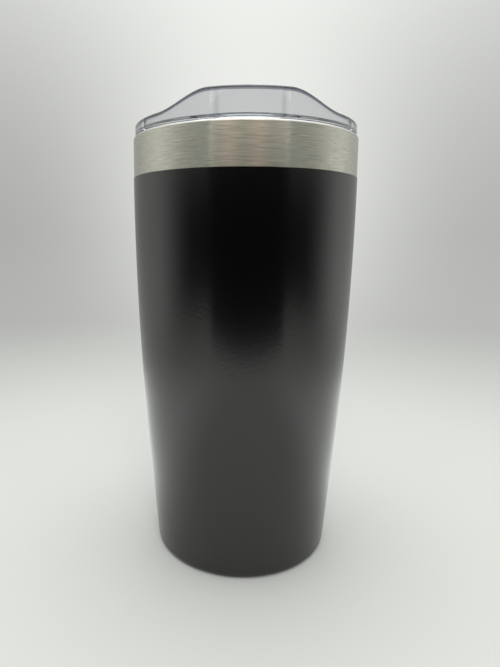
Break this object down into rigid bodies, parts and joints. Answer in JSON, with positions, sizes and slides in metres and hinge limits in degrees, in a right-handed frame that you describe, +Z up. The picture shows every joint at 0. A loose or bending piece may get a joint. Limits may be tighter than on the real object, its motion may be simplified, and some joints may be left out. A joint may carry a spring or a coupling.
{
  "type": "insulated tumbler with lid",
  "caption": "Double-walled steel vacuum tumbler, black powder coat under a bare steel band, clear press-in lid with a raised drinking lip and a sliding closure.",
  "frame": {"origin": "on the table, under the cup's axis", "axes": "+Z up along the cup's axis, towards the lid; -Y towards the raised drinking lip; +X to the right when the lip faces the viewer"},
  "size_m": [0.0864, 0.0864, 0.1746],
  "materials": {
    "steel": "stainless steel with a horizontal brush",
    "powder_coat": "black satin powder coat with a fine grain",
    "weld": "polished weld",
    "copper": "bright copper foil",
    "getter": "dull sintered metal",
    "seal_glass": "fused glass bead",
    "clear_lid": "clear moulded plastic",
    "clear_slider": "clear moulded plastic",
    "silicone": "translucent white silicone"
  },
  "bodies": {
    "cup": {"outer_shell": "steel", "powder_coat": "powder_coat", "inner_liner": "steel", "liner_floor": "steel", "liner_weld": "weld", "copper_foil": "copper", "rim_weld": "weld", "base_plate": "steel", "base_weld": "weld", "vacuum_seal": "seal_glass", "getter": "getter", "getter_bracket": "steel", "base_cover": "steel"},
    "lid_seal": {"lid_gasket": "silicone"},
    "lid": {"lid_body": "clear_lid"},
    "closure": {"slider": "clear_slider"}
  },
  "joints": [
    {"name": "lid_lift", "type": "slide", "parent": "cup", "child": "lid_seal", "axis": [0, 0, 1], "range_m": [0, 0.06]},
    {"name": "lid_turn", "type": "hinge", "parent": "lid_seal", "child": "lid", "pos_m": [0, 0, 0.165], "axis": [0, 0, 1], "continuous": true},
    {"name": "slider_slide", "type": "slide", "parent": "lid", "child": "closure", "axis": [0, 1, 0], "range_m": [0, 0.015]}
  ]
}
